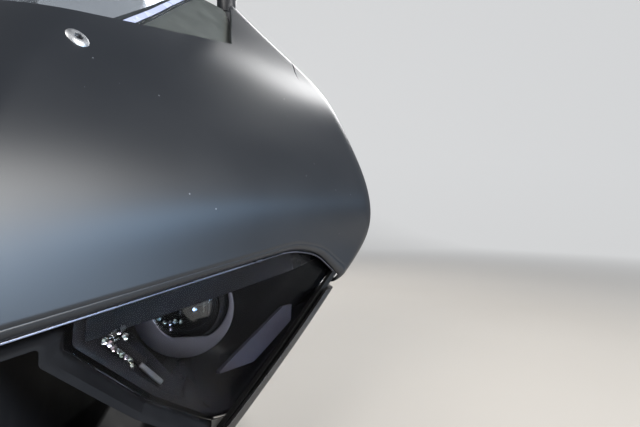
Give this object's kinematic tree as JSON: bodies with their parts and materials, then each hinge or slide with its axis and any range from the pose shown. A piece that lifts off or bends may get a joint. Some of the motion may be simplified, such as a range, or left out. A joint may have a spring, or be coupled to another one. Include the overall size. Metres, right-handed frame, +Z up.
{
  "type": "sport bike front fairing",
  "caption": "Nose fairing of a sport bike: shell panels, twin projector lamps, air intakes, clear windscreen, instrument, mounting stay and folding mirrors.",
  "frame": {"origin": "middle of the four bolt holes, on the face of the stay that bolts to the steering head", "axes": "the nose points along -Y, the bike's left side is +X, +Z is up"},
  "size_m": [0.7114, 0.4477, 0.5327],
  "materials": {
    "satin_black": "satin black paint on moulded plastic",
    "frame_black": "fine-grained black moulding",
    "clear_screen": "clear polycarbonate",
    "instrument_black": "black moulded housing",
    "instrument_glass": "dark glossy display window",
    "stay_metal": "black painted cast alloy",
    "lamp_clear": "clear glossy cover",
    "lamp_black": "black moulded lamp interior",
    "bezel_metal": "grey satin ring",
    "lens_glass": "projector lens glass",
    "eyelid_black": "glossy black mask",
    "light_guide": "translucent light guide",
    "crystal_metal": "bright faceted reflector",
    "duct_black": "dull black moulded duct",
    "panel_grey": "dull grey-green grained moulding",
    "mirror_black": "satin black mirror body",
    "mirror_silver": "mirror glass"
  },
  "bodies": {
    "fairing": {"nose_cowl": "satin_black", "left_side_panel": "satin_black", "right_side_panel": "satin_black", "chin": "frame_black", "beak": "frame_black", "windscreen": "clear_screen", "instrument": "instrument_black", "instrument_glass": "instrument_glass", "fairing_stay": "stay_metal", "left_lip_strip": "frame_black", "right_lip_strip": "frame_black", "left_cheek_panel": "frame_black", "right_cheek_panel": "frame_black", "left_lamp_cover": "lamp_clear", "right_lamp_cover": "lamp_clear", "left_lamp_housing": "lamp_black", "right_lamp_housing": "lamp_black", "left_lamp_bezel": "bezel_metal", "right_lamp_bezel": "bezel_metal", "left_lamp_barrel": "lamp_black", "right_lamp_barrel": "lamp_black", "left_lamp_lens": "lens_glass", "right_lamp_lens": "lens_glass", "left_lamp_eyelid": "eyelid_black", "right_lamp_eyelid": "eyelid_black", "left_light_guide": "light_guide", "right_light_guide": "light_guide", "left_lamp_crystals": "crystal_metal", "right_lamp_crystals": "crystal_metal", "left_intake_duct": "duct_black", "right_intake_duct": "duct_black", "left_inner_panel": "panel_grey", "right_inner_panel": "panel_grey", "left_mirror_foot": "stay_metal", "right_mirror_foot": "stay_metal"},
    "left_mirror": {"left_mirror_arm": "mirror_black", "left_mirror_shell": "mirror_black", "left_mirror_glass": "mirror_silver"},
    "right_mirror": {"right_mirror_arm": "mirror_black", "right_mirror_shell": "mirror_black", "right_mirror_glass": "mirror_silver"}
  },
  "joints": [
    {"name": "left_mirror_fold", "type": "hinge", "parent": "fairing", "child": "left_mirror", "pos_m": [0.102, 0.024, 0.288], "axis": [0, 0, 1], "range_deg": [-30, 70]},
    {"name": "right_mirror_fold", "type": "hinge", "parent": "fairing", "child": "right_mirror", "pos_m": [-0.102, 0.024, 0.288], "axis": [0, 0, -1], "range_deg": [-30, 70]}
  ]
}
